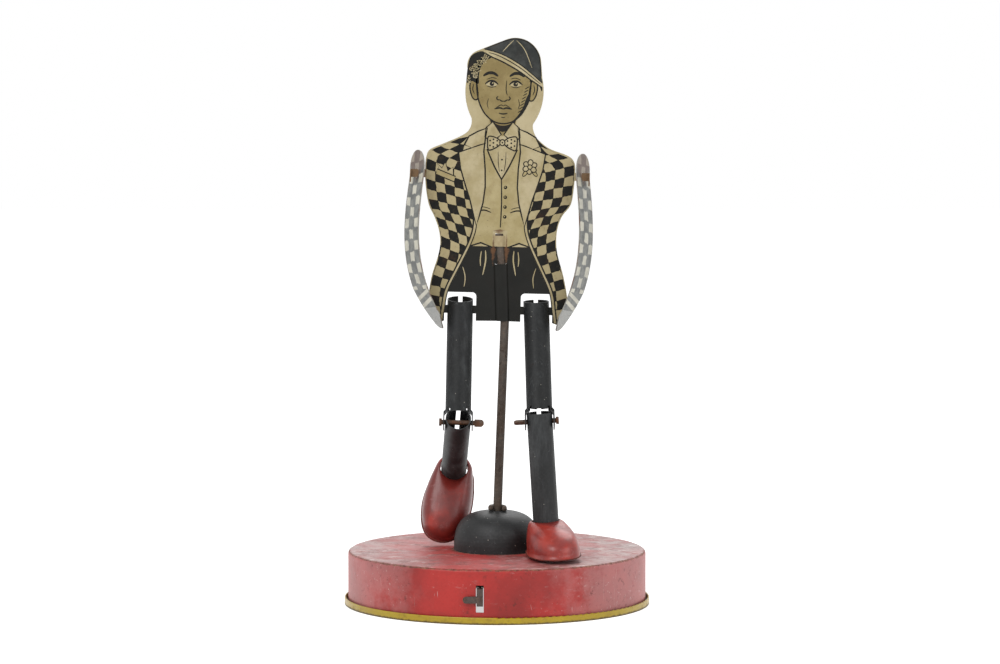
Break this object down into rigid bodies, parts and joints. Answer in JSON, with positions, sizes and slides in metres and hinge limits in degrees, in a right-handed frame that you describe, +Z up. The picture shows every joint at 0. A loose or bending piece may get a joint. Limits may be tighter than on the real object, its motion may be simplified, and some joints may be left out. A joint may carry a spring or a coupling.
{
  "type": "tin dancing toy",
  "caption": "Tin dancing toy: a flat printed figure with swinging arms and jointed tube legs, jigged on a rod above a round clockwork drum.",
  "frame": {"origin": "centre of the foot ring's underside, on the surface that the toy stands on", "axes": "+Z up, the figure faces -Y, +X to the viewer's right"},
  "size_m": [0.1372, 0.1486, 0.2542],
  "materials": {
    "red_tin": "worn gloss enamel on tin",
    "yellow_tin": "worn gloss enamel on tin",
    "black_tin": "worn satin black enamel on tin",
    "printed_tin": "printed and varnished tin, cream ground with black ink",
    "faded_tin": "faded printed tin",
    "rusty_steel": "brown patina and light rust",
    "plain_steel": "dull bare steel",
    "spring_steel": "blued spring steel",
    "wheel_brass": "dull brass"
  },
  "bodies": {
    "base": {"drum": "red_tin", "foot_ring": "yellow_tin", "dome": "black_tin", "motor_front_plate": "plain_steel", "motor_back_plate": "plain_steel", "motor_pillars": "plain_steel", "mainspring": "spring_steel", "lever_bracket": "plain_steel", "lever_pin": "plain_steel"},
    "lever": {"start_lever": "rusty_steel"},
    "winding": {"winding_key": "plain_steel", "winding_arbor": "plain_steel", "ratchet_wheel": "plain_steel", "great_wheel": "wheel_brass", "click": "plain_steel", "click_rivets": "plain_steel", "click_spring": "spring_steel"},
    "second": {"second_arbor": "plain_steel", "second_pinion": "plain_steel", "second_wheel": "wheel_brass"},
    "cam": {"cam_arbor": "plain_steel", "cam_pinion": "plain_steel", "striker_wheel": "plain_steel"},
    "figure": {"rod": "rusty_steel", "rod_stop_clip": "rusty_steel", "figure_plate": "printed_tin"},
    "left_arm": {"left_arm": "faded_tin"},
    "right_arm": {"right_arm": "faded_tin"},
    "left_thigh": {"left_thigh": "black_tin"},
    "right_thigh": {"right_thigh": "black_tin"},
    "left_shin": {"left_shin": "black_tin", "left_knee_pin": "rusty_steel", "left_shoe": "red_tin", "left_shoe_rivet": "rusty_steel"},
    "right_shin": {"right_shin": "black_tin", "right_knee_pin": "rusty_steel", "right_shoe": "red_tin", "right_shoe_rivet": "rusty_steel"}
  },
  "joints": [
    {"name": "rod_jig", "type": "slide", "parent": "base", "child": "figure", "axis": [0.0384, 0, 0.9993], "range_m": [0, 0.004]},
    {"name": "left_shoulder", "type": "hinge", "parent": "figure", "child": "left_arm", "pos_m": [-0.03559, -0.0012, 0.1939], "axis": [0.9997, 0, -0.0244], "range_deg": [-120, 0]},
    {"name": "right_shoulder", "type": "hinge", "parent": "figure", "child": "right_arm", "pos_m": [0.03839, -0.0012, 0.19209], "axis": [0.9997, 0, -0.0244], "range_deg": [-120, 0]},
    {"name": "left_hip", "type": "hinge", "parent": "figure", "child": "left_thigh", "pos_m": [-0.01648, -0.0012, 0.13281], "axis": [0.9997, 0, -0.0244], "range_deg": [0, 45]},
    {"name": "left_knee", "type": "hinge", "parent": "left_thigh", "child": "left_shin", "pos_m": [-0.01732, -0.01727, 0.08336], "axis": [0.9995, -0.0022, -0.0311], "range_deg": [0, 20]},
    {"name": "right_hip", "type": "hinge", "parent": "figure", "child": "right_thigh", "pos_m": [0.01772, -0.0012, 0.13198], "axis": [0.9997, 0, -0.0244], "range_deg": [-60, 0]},
    {"name": "right_knee", "type": "hinge", "parent": "right_thigh", "child": "right_shin", "pos_m": [0.0191, -0.02233, 0.08448], "axis": [0.9978, 0.0354, 0.0553], "range_deg": [-25, 0]},
    {"name": "key_turn", "type": "hinge", "parent": "base", "child": "winding", "pos_m": [0.024, 0.027, 0.0115], "axis": [0, 1, 0], "continuous": true},
    {"name": "second_turn", "type": "hinge", "parent": "base", "child": "second", "pos_m": [0.012, 0.027, 0.0115], "axis": [0, 1, 0], "continuous": true},
    {"name": "cam_turn", "type": "hinge", "parent": "base", "child": "cam", "pos_m": [0, 0, 0.0115], "axis": [0, 1, 0], "continuous": true},
    {"name": "lever_tilt", "type": "hinge", "parent": "base", "child": "lever", "pos_m": [-0.0074, -0.03, 0.0115], "axis": [1, 0, 0], "range_deg": [-2, 3]}
  ],
  "couplings": [
    {"joint": "second_turn", "follows": "key_turn", "ratio": -3},
    {"joint": "cam_turn", "follows": "key_turn", "ratio": 9}
  ]
}
